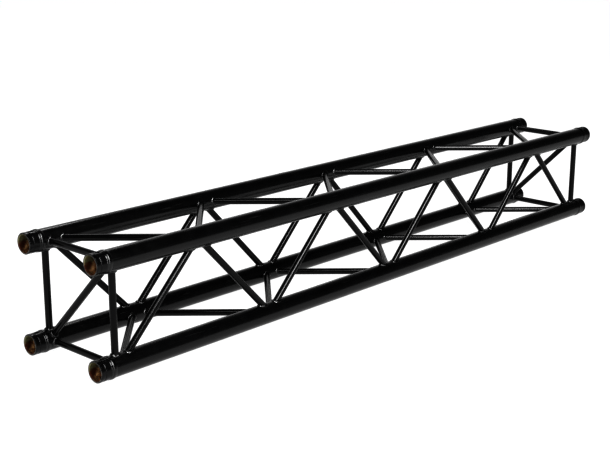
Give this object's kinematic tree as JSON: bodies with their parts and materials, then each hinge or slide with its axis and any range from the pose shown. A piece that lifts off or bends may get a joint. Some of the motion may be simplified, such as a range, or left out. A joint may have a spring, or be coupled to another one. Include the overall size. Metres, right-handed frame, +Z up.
{
  "type": "lighting truss section",
  "caption": "Square box truss section of round chords joined by welded zigzag braces, with a braced frame and conical receivers at each end.",
  "frame": {"origin": "under the middle of the truss, level with its lowest point", "axes": "+X along the truss, +Y from its front to its rear, +Z up"},
  "size_m": [2, 0.2934, 0.2936],
  "materials": {
    "chord": "satin black powder coat",
    "brace": "satin black powder coat",
    "receiver": "satin black powder coat outside, bare and copper brown inside the socket",
    "weld": "rippled weld bead under glossier black powder coat"
  },
  "bodies": {
    "root": {"chord_top_front": "chord", "chord_top_rear": "chord", "chord_bottom_front": "chord", "chord_bottom_rear": "chord", "receiver_top_front_left": "receiver", "receiver_top_front_right": "receiver", "receiver_top_rear_left": "receiver", "receiver_top_rear_right": "receiver", "receiver_bottom_front_left": "receiver", "receiver_bottom_front_right": "receiver", "receiver_bottom_rear_left": "receiver", "receiver_bottom_rear_right": "receiver", "receiver_welds": "weld", "diagonal_front_1": "brace", "diagonal_front_2": "brace", "diagonal_front_3": "brace", "diagonal_front_4": "brace", "diagonal_front_5": "brace", "diagonal_front_6": "brace", "diagonal_front_7": "brace", "diagonal_front_8": "brace", "diagonal_welds_front": "weld", "diagonal_rear_1": "brace", "diagonal_rear_2": "brace", "diagonal_rear_3": "brace", "diagonal_rear_4": "brace", "diagonal_rear_5": "brace", "diagonal_rear_6": "brace", "diagonal_rear_7": "brace", "diagonal_rear_8": "brace", "diagonal_welds_rear": "weld", "diagonal_top_1": "brace", "diagonal_top_2": "brace", "diagonal_top_3": "brace", "diagonal_top_4": "brace", "diagonal_top_5": "brace", "diagonal_top_6": "brace", "diagonal_top_7": "brace", "diagonal_top_8": "brace", "diagonal_welds_top": "weld", "diagonal_bottom_1": "brace", "diagonal_bottom_2": "brace", "diagonal_bottom_3": "brace", "diagonal_bottom_4": "brace", "diagonal_bottom_5": "brace", "diagonal_bottom_6": "brace", "diagonal_bottom_7": "brace", "diagonal_bottom_8": "brace", "diagonal_welds_bottom": "weld", "end_upright_front_left": "brace", "end_upright_rear_left": "brace", "end_rail_top_left": "brace", "end_rail_bottom_left": "brace", "end_diagonal_left": "brace", "end_upright_front_right": "brace", "end_upright_rear_right": "brace", "end_rail_top_right": "brace", "end_rail_bottom_right": "brace", "end_diagonal_right": "brace", "end_frame_welds": "weld"}
  },
  "joints": []
}
